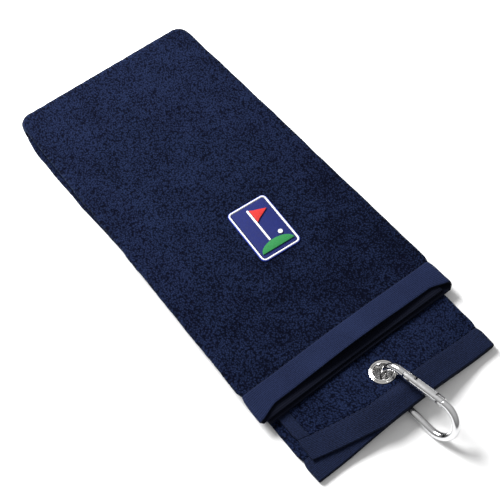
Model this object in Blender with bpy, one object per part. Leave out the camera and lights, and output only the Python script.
"""Folded golf towel with an eyelet and a small carabiner clip.

Frame: +X across the folded towel, +Y along it towards the cross fold, +Z up.
The origin is the centre of the folded towel's footprint, on the surface it lies on.
Metres throughout.
"""
import math

import bmesh
import bpy
from mathutils import Matrix, Vector

# ---------------------------------------------------------------- driving sizes
MM = 0.001
GAP = 0.3 * MM                      # clearance that resting pieces keep

FOLDED_LENGTH = 308.0 * MM          # near end of the lower half to the cross fold
OVERHANG = 48.0 * MM                # how far the lower half sticks out past the upper hem
FOLD_HALF_WIDTH = 66.3 * MM         # half width at the cross fold
FOLD_OFF_LINE = -1.0 * MM           # the fold lies this far off the middle line
FOLD_CORNER = 9.0 * MM              # plan radius of the two corners at the cross fold
LOWER_HALF_WIDTH = 65.6 * MM        # half width at the lower half's free end
UPPER_HALF_WIDTH = 71.6 * MM        # half width at the upper half's free end

PLY = 1.6 * MM                      # thickness of one ply of terry
PLY_GAP = 0.3 * MM                  # air between two plies
HALF_GAP = 0.4 * MM                 # air between the lower and the upper half
FOLD_FACE_GAP = 0.15 * MM           # each half stops this far from the middle of the fold

END_BAND = 14.0 * MM                # flat-woven band, turned and sewn, at each free end
SIDE_HEM = 7.0 * MM                 # turned hem along each long edge
SEAM = 1.1 * MM                     # groove that a seam is sewn in
THREAD_R = 0.25 * MM
OUTER_FLAP_INSET = 4.6 * MM         # outer flap's edge, inside the left fold
INNER_FLAP_INSET = 7.0 * MM         # inner flap's edge, inside the right fold
UPPER_STAGGER = (0.0, 5.0 * MM, 7.0 * MM)    # how far each ply reaches past the outer ply
FOLD_STAGGER = 4.0 * MM             # the upper band reaches this much further at its folds
FOLD_STAGGER_RUN = 14.0 * MM
FLAP_SKEW = 11.0 * MM               # the lower outer flap's corner is folded this far short
FLAP_SKEW_RUN = 110.0 * MM          # length over which the flap comes back into line

# Where the lower end rides up over the clip's spine.
HUMP = 7.4 * MM
HUMP_CREST_HALF = 8.0 * MM
HUMP_HALF_WIDTH = 56.0 * MM
HUMP_RUN = 38.0 * MM
END_DROOP = 1.2 * MM

GROMMET_X = 1.5 * MM
GROMMET_FROM_END = 24.8 * MM
GROMMET_BORE_R = 5.3 * MM
GROMMET_WALL = 0.4 * MM
GROMMET_FLANGE_R = 8.0 * MM
GROMMET_LIP = 0.5 * MM              # thickness of the rolled lip and of the washer
GROMMET_CROWN = 1.0 * MM            # height of the flange's round crown
RING_LIFT = 6.1 * MM                # underside of the cloth at the eyelet's centre
RING_SLOPE = 0.215                  # the eyelet tips down towards the cross fold
RING_SQUEEZE = 0.62                 # the eyelet clamps the plies to this share of their height
RING_FLAT_R = 11.0 * MM
RING_FADE_R = 20.0 * MM

ROD_R = 2.4 * MM
NEAR_BOW_R = 8.75 * MM              # centreline radius of the bow in the eyelet
FAR_BOW_R = 11.4 * MM               # centreline radius of the free bow
BOW_SPACING = 31.5 * MM             # between the centres of the two bows
CLIP_LEAN = math.radians(22.0)      # the loop leans over towards +X
CLIP_YAW = math.radians(3.5)
CLIP_OFF_BORE = 1.2 * MM            # the rod passes this far to +X of the bore's middle
ROD_SLANT = 1.5                     # the bow slants through the cloth, so it needs this many radii
ROD_NEAR_GAP = 2.0 * MM             # air left on the bore's near side besides

SLEEVE_R = 2.8 * MM
SLEEVE_START = 4.6 * MM             # along the gate's line, from where the near bow ends
SLEEVE_END = 30.4 * MM
RIVET_AT = 8.0 * MM
RIVET_R = 0.8 * MM
PIN_CLEAR = 0.2 * MM
TONGUE_HALF = 1.0 * MM              # half thickness of the flattened tongue and nose
TONGUE_ROOT = 3.2 * MM
TONGUE_TIP = 10.2 * MM
SLOT_DEEP = 12.0 * MM               # end of the slot that the tongue turns in
NOSE_ROOT = 30.9 * MM
NOSE_TIP = 26.0 * MM
NOSE_SLOT = 25.4 * MM
LATCH_PIN_AT = 27.7 * MM
LATCH_PIN_R = 0.7 * MM
BORE_R = 1.7 * MM
BORE_START = TONGUE_TIP             # the bore runs out into the slot
BORE_END = 23.4 * MM
PLUNGER_HEAD = 1.9 * MM
PLUNGER_STEM = 4.0 * MM
PLUNGER_STEM_R = 0.65 * MM
SPRING_WIRE_R = 0.2 * MM
SPRING_R = 1.15 * MM
SPRING_TURNS = 7

BADGE_X = 7.3 * MM
BADGE_FROM_HEM = 93.0 * MM          # the badge's centre, from the upper hem's edge
BADGE_TURN = math.radians(-3.4)
BADGE_WIDTH = 28.0 * MM
BADGE_HEIGHT = 40.5 * MM
BADGE_CORNER = 3.2 * MM
BADGE_BORDER = 1.5 * MM
BADGE_GROUND = 0.6 * MM             # thickness of the embroidered field
BADGE_RIM = 0.9 * MM                # height of the satin border
MOTIF = 0.5 * MM                    # height of the embroidered motif

# ---------------------------------------------------------------- worked-out places
NEAR_END = -FOLDED_LENGTH / 2
FOLD_END = FOLDED_LENGTH / 2
UPPER_END = NEAR_END + OVERHANG
HALF_HEIGHT = 3 * PLY + 2 * PLY_GAP
MID_Z = HALF_HEIGHT + HALF_GAP / 2
TOP_Z = 2 * HALF_HEIGHT + HALF_GAP
BEND_Z = MID_Z - FOLD_FACE_GAP      # centre of the lower half's bend
BEND_Y = FOLD_END - BEND_Z
GROMMET_Y = NEAR_END + GROMMET_FROM_END
BADGE_Y = UPPER_END + BADGE_FROM_HEM
CREST_Y = NEAR_END + END_BAND
CLIP_X = GROMMET_X + CLIP_OFF_BORE
CLIP_Y = GROMMET_Y - GROMMET_BORE_R + ROD_SLANT * ROD_R + ROD_NEAR_GAP
CLIP_Z = ROD_R + NEAR_BOW_R * math.cos(CLIP_LEAN)
GATE_TILT = 2 * math.asin((FAR_BOW_R - NEAR_BOW_R) / BOW_SPACING)
LIMB = BOW_SPACING * math.cos(GATE_TILT / 2)      # straight length of each limb

# ---------------------------------------------------------------- helpers


def clear_scene():
    for obj in list(bpy.data.objects):
        bpy.data.objects.remove(obj, do_unlink=True)


def finish(name, r, g, b, rough, metal):
    """A Principled material."""
    mat = bpy.data.materials.new(name)
    mat.use_nodes = True
    shader = mat.node_tree.nodes["Principled BSDF"]
    shader.inputs["Base Color"].default_value = (r, g, b, 1.0)
    shader.inputs["Roughness"].default_value = rough
    shader.inputs["Metallic"].default_value = metal
    return mat


def add_object(name, bm, mat, parent=None, smooth=True):
    """Close a bmesh off as a named object."""
    bmesh.ops.recalc_face_normals(bm, faces=bm.faces)
    mesh = bpy.data.meshes.new(name)
    bm.to_mesh(mesh)
    bm.free()
    if smooth:
        mesh.shade_smooth()
        mesh.set_sharp_from_angle(angle=math.radians(35))
    mesh.materials.append(mat)
    obj = bpy.data.objects.new(name, mesh)
    bpy.context.collection.objects.link(obj)
    obj.parent = parent
    return obj


def add_empty(name, location, rotation=(0, 0, 0), parent=None):
    empty = bpy.data.objects.new(name, None)
    empty.location = location
    empty.rotation_euler = rotation
    bpy.context.collection.objects.link(empty)
    empty.parent = parent
    return empty


def smooth(t):
    t = min(max(t, 0.0), 1.0)
    return t * t * (3 - 2 * t)


def cut(target, cutters):
    """Take cutters away from a target with exact Boolean modifiers."""
    for cutter in cutters:
        cutter.hide_render = True
        cutter.display_type = "WIRE"
        mod = target.modifiers.new("cut_" + cutter.name, "BOOLEAN")
        mod.operation = "DIFFERENCE"
        mod.solver = "EXACT"
        mod.object = cutter


def box_bmesh(low, high):
    bm = bmesh.new()
    bmesh.ops.create_cube(bm, size=1.0)
    size = Vector(high) - Vector(low)
    bmesh.ops.scale(bm, vec=size, verts=bm.verts)
    bmesh.ops.translate(bm, vec=(Vector(high) + Vector(low)) / 2, verts=bm.verts)
    return bm


def rod_bmesh(radius, start, end, sides=24):
    """A round bar between two points."""
    start, end = Vector(start), Vector(end)
    along = end - start
    bm = bmesh.new()
    bmesh.ops.create_cone(bm, cap_ends=True, cap_tris=False, segments=sides, radius1=radius,
                          radius2=radius, depth=along.length)
    turn = Vector((0, 0, 1)).rotation_difference(along).to_matrix().to_4x4()
    bmesh.ops.transform(bm, matrix=Matrix.Translation((start + end) / 2) @ turn, verts=bm.verts)
    return bm


def tube_bmesh(points, radius, sides):
    """A round thread along a list of points, closed at both ends."""
    bm = bmesh.new()
    rings = []
    count = len(points)
    for i, point in enumerate(points):
        ahead = points[min(i + 1, count - 1)] - points[max(i - 1, 0)]
        side = ahead.cross(Vector((0, 0, 1)))
        if side.length < 1e-9:
            side = ahead.cross(Vector((1, 0, 0)))
        side.normalize()
        upward = side.cross(ahead).normalized()
        ring = []
        for k in range(sides):
            a = 2 * math.pi * k / sides
            ring.append(bm.verts.new(point + radius * (math.cos(a) * side + math.sin(a) * upward)))
        rings.append(ring)
    for a, b in zip(rings, rings[1:]):
        for k in range(sides):
            bm.faces.new((a[k], a[(k + 1) % sides], b[(k + 1) % sides], b[k]))
    bm.faces.new(rings[0])
    bm.faces.new(reversed(rings[-1]))
    return bm


def turned_bmesh(profile, sides):
    """A closed (radius, height) profile turned about the local Z axis."""
    bm = bmesh.new()
    verts = [bm.verts.new((radius, 0, height)) for radius, height in profile]
    edges = [bm.edges.new((a, b)) for a, b in zip(verts, verts[1:] + verts[:1])]
    bmesh.ops.spin(bm, geom=verts + edges, cent=(0, 0, 0), axis=(0, 0, 1), angle=2 * math.pi,
                   steps=sides, use_merge=True, use_duplicate=False)
    bmesh.ops.remove_doubles(bm, verts=bm.verts, dist=1e-7)
    return bm


def prism_bmesh(outline, low, high):
    """An (x, y) outline raised from one height to another."""
    bm = bmesh.new()
    face = bm.faces.new([bm.verts.new((x, y, low)) for x, y in outline])
    raised = bmesh.ops.extrude_face_region(bm, geom=[face])["geom"]
    top = [v for v in raised if isinstance(v, bmesh.types.BMVert)]
    bmesh.ops.translate(bm, vec=(0, 0, high - low), verts=top)
    bmesh.ops.triangulate(bm, faces=[f for f in bm.faces if len(f.verts) > 4])
    return bm


# ---------------------------------------------------------------- how the cloth lies


def hump(x, y):
    """Height of the soft rise over the clip's spine."""
    off = abs(x - GROMMET_X) - HUMP_CREST_HALF
    off = min(max(off / (HUMP_HALF_WIDTH - HUMP_CREST_HALF), 0.0), 1.0)
    across = 0.5 * (1 + math.cos(math.pi * off))
    fall = smooth((y - CREST_Y) / HUMP_RUN)
    droop = END_DROOP * smooth((CREST_Y - y) / END_BAND)
    return across * (HUMP * (1 - fall) - droop)


def lie_lower(x, y, z):
    """Where a point of the flat lower half comes to lie."""
    r = math.hypot(x - GROMMET_X, y - GROMMET_Y)
    held = 1 - smooth((r - RING_FLAT_R) / (RING_FADE_R - RING_FLAT_R))
    plane = RING_LIFT - RING_SLOPE * (y - GROMMET_Y)
    rise = held * plane + (1 - held) * hump(x, y)
    return Vector((x, y, rise + z * (1 - (1 - RING_SQUEEZE) * held)))


def lie_upper(x, y, z):
    """Where a point of the flat upper half comes to lie."""
    return Vector((x, y, z + hump(x, y)))


def half_width(share, upper):
    """Half width at a share of the way from the cross fold (0) to the free end (1)."""
    free = UPPER_HALF_WIDTH if upper else LOWER_HALF_WIDTH
    return FOLD_HALF_WIDTH + (free - FOLD_HALF_WIDTH) * share


def ply_z(k):
    """Middle height of ply k: 0 is the middle third, 1 the inner flap, 2 the outer flap."""
    return PLY / 2 + k * (PLY + PLY_GAP)


def across_stations():
    """Positions across the towel, closer together round the eyelet and at the corners."""
    fade = (RING_FLAT_R + RING_FADE_R) / 2
    steps = (0.0, 0.5 * RING_FLAT_R, RING_FLAT_R, fade, RING_FADE_R, 31 * MM, 43 * MM)
    stations = {GROMMET_X + s * side for s in steps for side in (-1, 1)}
    corner = FOLD_HALF_WIDTH - FOLD_CORNER
    stations |= {side * (corner + share * FOLD_CORNER) for share in (0, 0.4) for side in (-1, 1)}
    return sorted(stations)


def corner_drop(x):
    """How far the cross fold draws back at its round corners."""
    off = max(abs(x) - (FOLD_HALF_WIDTH - FOLD_CORNER), 0.0)
    return FOLD_CORNER - math.sqrt(FOLD_CORNER ** 2 - off ** 2)


def fold_path(inner_edge, outer_edge, hw):
    """Middle line of the cloth in cross-section, from the inner flap's edge round both
    side folds to the outer flap's edge, as (x, z, ply) points."""
    left_r = (ply_z(1) - ply_z(0)) / 2
    right_r = (ply_z(2) - ply_z(0)) / 2
    left_x = -hw + PLY / 2 + left_r
    right_x = hw - PLY / 2 - right_r
    stations = across_stations()
    margin = 1.5 * MM

    def run(x0, x1, z, ply):
        low, high = min(x0, x1) + margin, max(x0, x1) - margin
        inside = [x for x in stations if low < x < high]
        inside.sort(reverse=x1 < x0)
        return [(x0, z, ply)] + [(x, z, ply) for x in inside]

    path = run(inner_edge, left_x, ply_z(1), 1.0)
    for i in range(5):
        a = math.pi * i / 5
        path.append((left_x - left_r * math.sin(a), (ply_z(1) + ply_z(0)) / 2
                     + left_r * math.cos(a), 1.0 - i / 5))
    path += run(left_x, right_x, ply_z(0), 0.0)
    for i in range(7):
        a = math.pi * i / 7
        path.append((right_x + right_r * math.sin(a), (ply_z(2) + ply_z(0)) / 2
                     - right_r * math.cos(a), 2.0 * i / 7))
    path += run(right_x, outer_edge, ply_z(2), 2.0)
    path.append((outer_edge, ply_z(2), 2.0))
    return path


def stagger(x, ply):
    """How far past the upper half's end line the free edge of its band reaches."""
    k = min(int(ply), 1)
    value = UPPER_STAGGER[k] + (UPPER_STAGGER[k + 1] - UPPER_STAGGER[k]) * (ply - k)
    near_fold = smooth((abs(x) - (FOLD_HALF_WIDTH - FOLD_STAGGER_RUN)) / FOLD_STAGGER_RUN)
    return max(value, FOLD_STAGGER * near_fold)


def flap_skew(x, ply, along):
    """How far the lower half's outer flap lies back from the plies under it."""
    start = GROMMET_X - RING_FADE_R
    off = (start - x) / (start + FOLD_HALF_WIDTH - OUTER_FLAP_INSET)
    back = FLAP_SKEW * max(off, 0.0) * max(ply - 1, 0.0)
    return back * (1 - smooth(along / FLAP_SKEW_RUN))


def outline_of(path):
    """Both faces of the cloth round its middle line, as (x, z, ply, middle) points."""
    left, right = [], []
    for i, (x, z, ply) in enumerate(path):
        before = path[max(i - 1, 0)]
        after = path[min(i + 1, len(path) - 1)]
        step = Vector((after[0] - before[0], after[1] - before[1])).normalized()
        left.append((x - step.y * PLY / 2, z + step.x * PLY / 2, ply))
        right.append((x + step.y * PLY / 2, z - step.x * PLY / 2, ply))
    return left + right[::-1]


def place_point(x, z, ply, station, upper):
    """Put a cross-section point at a station along the half.

    A station is ("at", y) for a plain row, ("end", inset) for a row measured from the
    free end, or ("bend", angle) for a row of the quarter bend at the cross fold."""
    free_end = UPPER_END if upper else NEAR_END
    kind, value = station
    if kind == "bend":
        rho = BEND_Z - z
        y = BEND_Y + rho * math.sin(value) - corner_drop(x)
        height = BEND_Z - rho * math.cos(value)
        point = Vector((x + FOLD_OFF_LINE, y, height))
    else:
        y = value
        if kind == "end":
            y = free_end + value
            if upper and value < END_BAND:
                y -= stagger(x, ply) * (1 - value / END_BAND)
        if not upper:
            y += flap_skew(x, ply, y - free_end)
        share = (BEND_Y - y) / (BEND_Y - free_end)
        wide = x * half_width(share, upper) / FOLD_HALF_WIDTH + FOLD_OFF_LINE * (1 - share)
        if upper:
            flat = lie_upper(wide, y, 0)
            return Vector((wide, y, 2 * MID_Z - z + flat.z))
        return lie_lower(wide, y, z)
    if upper:
        point.z = 2 * MID_Z - point.z
    return point


def cloth_bmesh(path, stations, upper):
    """Cloth swept from one station to the next."""
    ring = outline_of(path)
    bm = bmesh.new()
    rows = [[bm.verts.new((x, 0, z)) for x, z, ply in ring]]
    edges = [bm.edges.new(pair) for pair in zip(rows[0], rows[0][1:] + rows[0][:1])]
    for _ in stations[1:]:
        raised = bmesh.ops.extrude_edge_only(bm, edges=edges)["geom"]
        row = {(round(v.co.x, 9), round(v.co.z, 9)): v for v in raised
               if isinstance(v, bmesh.types.BMVert)}
        fresh = set(row.values())
        edges = [g for g in raised if isinstance(g, bmesh.types.BMEdge)
                 and fresh.issuperset(g.verts)]
        bmesh.ops.translate(bm, vec=(0, 1, 0), verts=list(fresh))
        rows.append([row[(round(v.co.x, 9), round(v.co.z, 9))] for v in rows[-1]])
    last = len(ring) - 1
    for row in (rows[0], rows[-1]):
        for i in range(len(path) - 1):
            bm.faces.new((row[i], row[i + 1], row[last - i - 1], row[last - i]))
    for row, station in zip(rows, stations):
        for vert, (x, z, ply) in zip(row, ring):
            vert.co = place_point(x, z, ply, station, upper)
    return bm


BEND_ROWS = [("bend", math.pi / 2 * i / 6) for i in range(7)]


def body_stations(upper, start):
    """Rows of the terry from its end seam to the fold."""
    free_end = UPPER_END if upper else NEAR_END
    marks = [GROMMET_Y - 0.5 * RING_FLAT_R, GROMMET_Y, GROMMET_Y + 0.5 * RING_FLAT_R,
             GROMMET_Y + RING_FLAT_R, GROMMET_Y + 0.78 * RING_FADE_R, GROMMET_Y + RING_FADE_R,
             CREST_Y + 0.9 * HUMP_RUN, CREST_Y + HUMP_RUN]
    first = free_end + start
    rows = [("end", start)]
    rows += [("at", y) for y in marks if y > first + 2.5 * MM]
    rows.append(("at", BEND_Y - FOLD_CORNER - 2 * MM))
    return rows + BEND_ROWS


# ---------------------------------------------------------------- cloth pieces


def edges_of():
    """x of the flaps' edges, of the side hems' seams and of the terry's edges."""
    inner = FOLD_HALF_WIDTH - INNER_FLAP_INSET
    outer = -FOLD_HALF_WIDTH + OUTER_FLAP_INSET
    return {
        "inner_edge": inner,
        "inner_seam": inner - SIDE_HEM,
        "inner_terry": inner - SIDE_HEM - SEAM,
        "outer_edge": outer,
        "outer_seam": outer + SIDE_HEM,
        "outer_terry": outer + SIDE_HEM + SEAM,
    }


def strip_path(x0, x1, ply):
    """Middle line of a side hem, which lies in one ply."""
    return [(x0, ply_z(ply), float(ply)), ((x0 + x1) / 2, ply_z(ply), float(ply)),
            (x1, ply_z(ply), float(ply))]


def make_cloth(side, upper, mats):
    """Terry, end band, side hems and seam threads of one half."""
    e = edges_of()
    seam_start = END_BAND + SEAM
    terry_path = fold_path(e["inner_terry"], e["outer_terry"], FOLD_HALF_WIDTH)
    rows = body_stations(upper, seam_start)
    terry = add_object(side + "_terry", cloth_bmesh(terry_path, rows, upper), mats["terry"])

    band_path = fold_path(e["inner_edge"], e["outer_edge"], FOLD_HALF_WIDTH)
    band_rows = [("end", END_BAND * i / 4) for i in range(5)]
    add_object(side + "_end_hem", cloth_bmesh(band_path, band_rows, upper), mats["band"])

    hem_ends = {"outer": (e["outer_edge"], e["outer_seam"], 2),
                "inner": (e["inner_seam"], e["inner_edge"], 1)}
    for flap, (x0, x1, ply) in hem_ends.items():
        path = strip_path(x0, x1, ply)
        add_object(side + "_" + flap + "_side_hem", cloth_bmesh(path, rows, upper), mats["band"])

    middle = END_BAND + SEAM / 2
    inset_path = fold_path(e["inner_seam"], e["outer_seam"], FOLD_HALF_WIDTH)
    points = [place_point(x, z, ply, ("end", middle), upper) for x, z, ply in inset_path]
    add_object(side + "_end_thread", tube_bmesh(points, THREAD_R, 6), mats["thread"])

    thread_rows = [("end", seam_start + SEAM)] + rows[1:]
    seams = {"outer": (e["outer_seam"] + SEAM / 2, 2), "inner": (e["inner_seam"] - SEAM / 2, 1)}
    for flap, (x, ply) in seams.items():
        points = [place_point(x, ply_z(ply), float(ply), row, upper) for row in thread_rows]
        add_object(side + "_" + flap + "_thread", tube_bmesh(points, THREAD_R, 6), mats["thread"])
    return terry


# ---------------------------------------------------------------- eyelet


def make_grommet(terry, mats):
    """Two-piece eyelet, square to the cloth it clamps."""
    tip = math.atan(RING_SLOPE)
    axis = add_empty("eyelet_axis", (GROMMET_X, GROMMET_Y, RING_LIFT), (-tip, 0, 0))
    clamp = HALF_HEIGHT * RING_SQUEEZE * math.cos(tip)
    under = clamp + GAP                      # underside of the flange
    barrel = GROMMET_BORE_R + GROMMET_WALL
    lip_r = barrel + 0.9 * MM
    crown = [(GROMMET_BORE_R, under + 0.1 * MM)]
    mid_r = (GROMMET_BORE_R + GROMMET_FLANGE_R) / 2
    reach = (GROMMET_FLANGE_R - GROMMET_BORE_R) / 2
    for i in range(1, 8):
        a = math.pi * i / 8
        crown.append((mid_r - reach * math.cos(a), under + 0.1 * MM
                      + (GROMMET_CROWN - 0.1 * MM) * math.sin(a)))
    crown.append((GROMMET_FLANGE_R, under + 0.1 * MM))
    profile = [(GROMMET_BORE_R, -GAP - GROMMET_LIP)] + crown
    profile += [(GROMMET_FLANGE_R - 0.1 * MM, under), (barrel, under), (barrel, -GAP)]
    profile += [(lip_r, -GAP), (lip_r, -GAP - GROMMET_LIP)]
    add_object("grommet_eyelet", turned_bmesh(profile, 40), mats["nickel"], axis)

    washer_in = lip_r + GAP
    washer_out = GROMMET_FLANGE_R + 0.2 * MM
    washer = [(washer_in, -GAP - GROMMET_LIP), (washer_in, -GAP), (washer_out, -GAP),
              (washer_out, -GAP - GROMMET_LIP)]
    add_object("grommet_washer", turned_bmesh(washer, 40), mats["nickel"], axis)

    punch = rod_bmesh(barrel + GAP, (0, 0, -10 * MM), (0, 0, 14 * MM), 40)
    cut(terry, [add_object("eyelet_punch", punch, mats["nickel"], axis)])


# ---------------------------------------------------------------- badge


def rounded_outline(width, height, corner, steps=5):
    points = []
    quarters = ((1, 1, 0.0), (-1, 1, 0.5), (-1, -1, 1.0), (1, -1, 1.5))
    for sx, sy, turn in quarters:
        for i in range(steps + 1):
            a = math.pi * (turn + 0.5 * i / steps)
            points.append((sx * (width / 2 - corner) + corner * math.cos(a),
                           sy * (height / 2 - corner) + corner * math.sin(a)))
    return points


def make_badge(mats):
    """Embroidered field, satin border and a plain flagstick-on-a-green motif."""
    axis = add_empty("badge_axis", (BADGE_X, BADGE_Y, TOP_Z + GAP), (0, 0, BADGE_TURN))
    inner_w = BADGE_WIDTH - 2 * BADGE_BORDER
    inner_h = BADGE_HEIGHT - 2 * BADGE_BORDER
    inner_c = BADGE_CORNER - BADGE_BORDER
    field = rounded_outline(inner_w - 2 * GAP, inner_h - 2 * GAP, inner_c - GAP)
    add_object("badge_ground", prism_bmesh(field, 0, BADGE_GROUND), mats["field"], axis)

    outer = rounded_outline(BADGE_WIDTH, BADGE_HEIGHT, BADGE_CORNER)
    inner = rounded_outline(inner_w, inner_h, inner_c)
    bm = bmesh.new()
    loops = []
    for outline, height in ((outer, 0), (outer, BADGE_RIM), (inner, BADGE_RIM), (inner, 0)):
        loops.append([bm.verts.new((x, y, height)) for x, y in outline])
    for a, b in zip(loops, loops[1:] + loops[:1]):
        for i in range(len(a)):
            j = (i + 1) % len(a)
            bm.faces.new((a[i], a[j], b[j], b[i]))
    add_object("badge_border", bm, mats["white"], axis)

    low = BADGE_GROUND + GAP
    high = low + MOTIF
    pole_w = 1.3 * MM
    foot = -inner_h / 2 + 9.0 * MM           # where the pole meets the green
    head = inner_h / 2 - 4.0 * MM
    pole_x = -2.0 * MM
    pole = [(pole_x - pole_w / 2, foot), (pole_x + pole_w / 2, foot), (pole_x + pole_w / 2, head),
            (pole_x, head + pole_w / 2), (pole_x - pole_w / 2, head)]
    add_object("badge_pole", prism_bmesh(pole, low, high), mats["white"], axis)

    flag_x = pole_x + pole_w / 2 + GAP
    flag_h = 10.0 * MM
    flag_w = 10.5 * MM
    flag = [(flag_x, head - flag_h), (flag_x + flag_w * 0.55, head - flag_h * 0.66),
            (flag_x + flag_w, head - flag_h * 0.42), (flag_x + flag_w * 0.5, head - flag_h * 0.22),
            (flag_x, head)]
    add_object("badge_pennant", prism_bmesh(flag, low, high), mats["red"], axis)

    green_top = foot - GAP
    green_w = inner_w / 2 - 1.2 * MM
    green_h = 6.0 * MM
    mound = []
    for i in range(13):
        a = math.pi * i / 12
        mound.append((green_w * math.cos(a), green_top - green_h + green_h * math.sin(a)))
    add_object("badge_green", prism_bmesh(mound, low, high), mats["green"], axis)

    ball_r = 1.5 * MM
    ball_x = 6.6 * MM
    ball_y = green_top + ball_r + 0.4 * MM
    ball = []
    for i in range(16):
        a = 2 * math.pi * i / 16
        ball.append((ball_x + ball_r * math.cos(a), ball_y + ball_r * math.sin(a)))
    add_object("badge_ball", prism_bmesh(ball, low, high), mats["white"], axis)


# ---------------------------------------------------------------- carabiner


def loop_point(along, up):
    """A point of the loop's own plane: along the spine from the near bow, and up from it."""
    return Vector((0, -(along + NEAR_BOW_R), up - NEAR_BOW_R))


def make_carabiner(mats):
    """Bent rod, hollow gate and what works inside it."""
    clip = add_empty("clip_swivel_axis", (CLIP_X, CLIP_Y, CLIP_Z), (0, CLIP_LEAN, CLIP_YAW))
    near_c = loop_point(0, NEAR_BOW_R)
    far_c = loop_point(LIMB, FAR_BOW_R)
    gate_dir = Vector((0, -math.cos(GATE_TILT), math.sin(GATE_TILT)))
    gate_out = Vector((0, math.sin(GATE_TILT), math.cos(GATE_TILT)))
    gate_zero = near_c + NEAR_BOW_R * gate_out

    bm = bmesh.new()
    made = bmesh.ops.create_circle(bm, cap_ends=False, segments=20, radius=ROD_R)
    turn = Vector((0, 0, 1)).rotation_difference(gate_dir).to_matrix().to_4x4()
    start = gate_zero + gate_dir * TONGUE_TIP
    bmesh.ops.transform(bm, matrix=Matrix.Translation(start) @ turn, verts=made["verts"])
    ring = list(bm.edges)
    first_ring = list(ring)

    def pull(edges, vec):
        raised = bmesh.ops.extrude_edge_only(bm, edges=edges)["geom"]
        moved = [g for g in raised if isinstance(g, bmesh.types.BMVert)]
        bmesh.ops.translate(bm, vec=vec, verts=moved)
        return [g for g in raised if isinstance(g, bmesh.types.BMEdge)
                and all(v in moved for v in g.verts)]

    def bend(edges, centre, angle, steps):
        verts = list({v for edge in edges for v in edge.verts})
        last = bmesh.ops.spin(bm, geom=verts + edges, cent=centre, axis=(1, 0, 0), angle=angle,
                              steps=steps, use_duplicate=False)["geom_last"]
        return [g for g in last if isinstance(g, bmesh.types.BMEdge)]

    ring = pull(ring, -gate_dir * TONGUE_TIP)
    ring = bend(ring, near_c, GATE_TILT - math.pi, 14)
    ring = pull(ring, loop_point(LIMB, 0) - loop_point(0, 0))
    ring = bend(ring, far_c, -math.pi - GATE_TILT, 18)
    ring = pull(ring, -gate_dir * (LIMB - NOSE_TIP))
    bmesh.ops.contextual_create(bm, geom=first_ring)
    bmesh.ops.contextual_create(bm, geom=ring)
    body = add_object("carabiner_body", bm, mats["aluminium"], clip)

    rivet_at = gate_zero + gate_dir * RIVET_AT
    gate = add_empty("gate_axis", rivet_at, (-GATE_TILT, 0, 0), clip)

    def on_gate(along):
        return RIVET_AT - along              # gate's local Y of a distance along its line

    wide = 6 * MM
    cutters = []
    for side in (-1, 1):
        near_x, far_x = sorted((side * TONGUE_HALF, side * wide))
        spans = (("tongue", TONGUE_TIP + 1 * MM, TONGUE_ROOT),
                 ("nose", NOSE_ROOT, NOSE_TIP - 1 * MM))
        for label, high, low in spans:
            flat = box_bmesh((near_x, on_gate(high), -wide), (far_x, on_gate(low), wide))
            tag = label + ("_left" if side < 0 else "_right")
            cutters.append(add_object("cut_" + tag, flat, mats["aluminium"], gate))
    hole = rod_bmesh(RIVET_R + GAP, (-wide, 0, 0), (wide, 0, 0))
    cutters.append(add_object("cut_rivet_hole", hole, mats["aluminium"], gate))
    catch_y = on_gate(LATCH_PIN_AT)
    catch_r = LATCH_PIN_R + GAP
    catch = rod_bmesh(catch_r, (-wide, catch_y, 0), (wide, catch_y, 0))
    cutters.append(add_object("cut_catch", catch, mats["aluminium"], gate))
    mouth = box_bmesh((-wide, catch_y - catch_r, -wide), (wide, catch_y + catch_r, 0))
    cutters.append(add_object("cut_catch_mouth", mouth, mats["aluminium"], gate))
    cut(body, cutters)

    tube = rod_bmesh(SLEEVE_R, (0, on_gate(SLEEVE_START), 0), (0, on_gate(SLEEVE_END), 0), 32)
    sleeve = add_object("gate_sleeve", tube, mats["sleeve"], gate)
    slot = TONGUE_HALF + GAP
    tools = [
        ("bore", rod_bmesh(BORE_R, (0, on_gate(BORE_START), 0), (0, on_gate(BORE_END), 0))),
        ("tongue_slot", box_bmesh((-slot, on_gate(SLOT_DEEP), -wide),
                                  (slot, on_gate(SLEEVE_START - 1 * MM), wide))),
        ("nose_slot", box_bmesh((-slot, on_gate(SLEEVE_END + 1 * MM), -wide),
                                (slot, on_gate(NOSE_SLOT), wide))),
        ("sleeve_rivet", rod_bmesh(RIVET_R + PIN_CLEAR, (-wide, 0, 0), (wide, 0, 0))),
        ("sleeve_latch", rod_bmesh(LATCH_PIN_R + PIN_CLEAR, (-wide, catch_y, 0),
                                   (wide, catch_y, 0))),
    ]
    cut(sleeve, [add_object("cut_" + n, shape, mats["sleeve"], gate) for n, shape in tools])

    rivet_half = SLEEVE_R + 0.05 * MM
    rivet = rod_bmesh(RIVET_R, (-rivet_half, 0, 0), (rivet_half, 0, 0))
    add_object("gate_rivet", rivet, mats["steel"], gate)
    latch = rod_bmesh(LATCH_PIN_R, (-rivet_half, catch_y, 0), (rivet_half, catch_y, 0))
    add_object("gate_latch_pin", latch, mats["steel"], gate)

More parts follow.
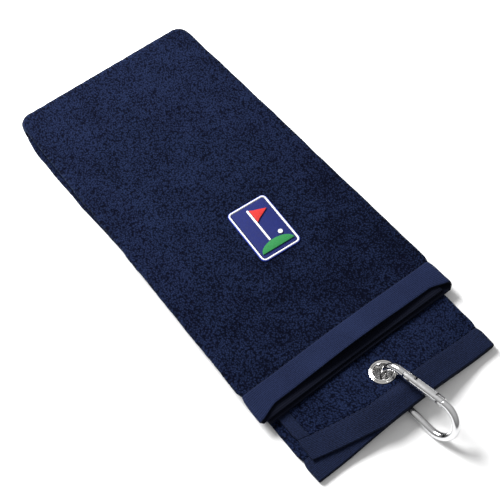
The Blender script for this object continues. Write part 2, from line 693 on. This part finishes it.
    head_low = TONGUE_TIP + GAP
    head_high = head_low + PLUNGER_HEAD
    head_r = BORE_R - GAP
    plunger = [(0, on_gate(head_low)), (head_r * 0.8, on_gate(head_low)),
               (head_r, on_gate(head_low + 0.3 * MM)), (head_r, on_gate(head_high)),
               (PLUNGER_STEM_R, on_gate(head_high)),
               (PLUNGER_STEM_R, on_gate(head_high + PLUNGER_STEM)),
               (0, on_gate(head_high + PLUNGER_STEM))]
    bm = bmesh.new()
    verts = [bm.verts.new((r, y, 0)) for r, y in plunger]
    edges = [bm.edges.new(pair) for pair in zip(verts, verts[1:])]
    bmesh.ops.spin(bm, geom=verts + edges, cent=(0, 0, 0), axis=(0, 1, 0), angle=2 * math.pi,
                   steps=20, use_merge=True, use_duplicate=False)
    bmesh.ops.remove_doubles(bm, verts=bm.verts, dist=1e-7)
    add_object("gate_plunger", bm, mats["steel"], gate)

    spring_low = head_high + GAP + SPRING_WIRE_R
    spring_high = BORE_END - GAP - SPRING_WIRE_R
    per_turn = 12
    coil = []
    for i in range(SPRING_TURNS * per_turn + 1):
        a = 2 * math.pi * i / per_turn
        along = spring_low + (spring_high - spring_low) * i / (SPRING_TURNS * per_turn)
        coil.append(Vector((SPRING_R * math.cos(a), on_gate(along), SPRING_R * math.sin(a))))
    add_object("gate_spring", tube_bmesh(coil, SPRING_WIRE_R, 6), mats["steel"], gate)


def main():
    clear_scene()
    mats = {
        "terry": finish("navy_terry", 0.012, 0.019, 0.055, 0.95, 0.0),
        "band": finish("navy_flat_weave", 0.016, 0.025, 0.065, 0.85, 0.0),
        "thread": finish("navy_thread", 0.020, 0.030, 0.075, 0.7, 0.0),
        "nickel": finish("nickel_plate", 0.72, 0.72, 0.71, 0.18, 1.0),
        "aluminium": finish("tumbled_aluminium", 0.62, 0.62, 0.63, 0.32, 1.0),
        "sleeve": finish("brushed_aluminium", 0.74, 0.74, 0.75, 0.28, 1.0),
        "steel": finish("pin_steel", 0.50, 0.50, 0.50, 0.35, 1.0),
        "field": finish("blue_embroidery", 0.020, 0.040, 0.360, 0.6, 0.0),
        "white": finish("white_embroidery", 0.85, 0.85, 0.86, 0.6, 0.0),
        "red": finish("red_embroidery", 0.60, 0.045, 0.035, 0.6, 0.0),
        "green": finish("green_embroidery", 0.030, 0.230, 0.070, 0.6, 0.0),
    }
    lower = make_cloth("lower", False, mats)
    make_cloth("upper", True, mats)
    make_grommet(lower, mats)
    make_badge(mats)
    make_carabiner(mats)


main()
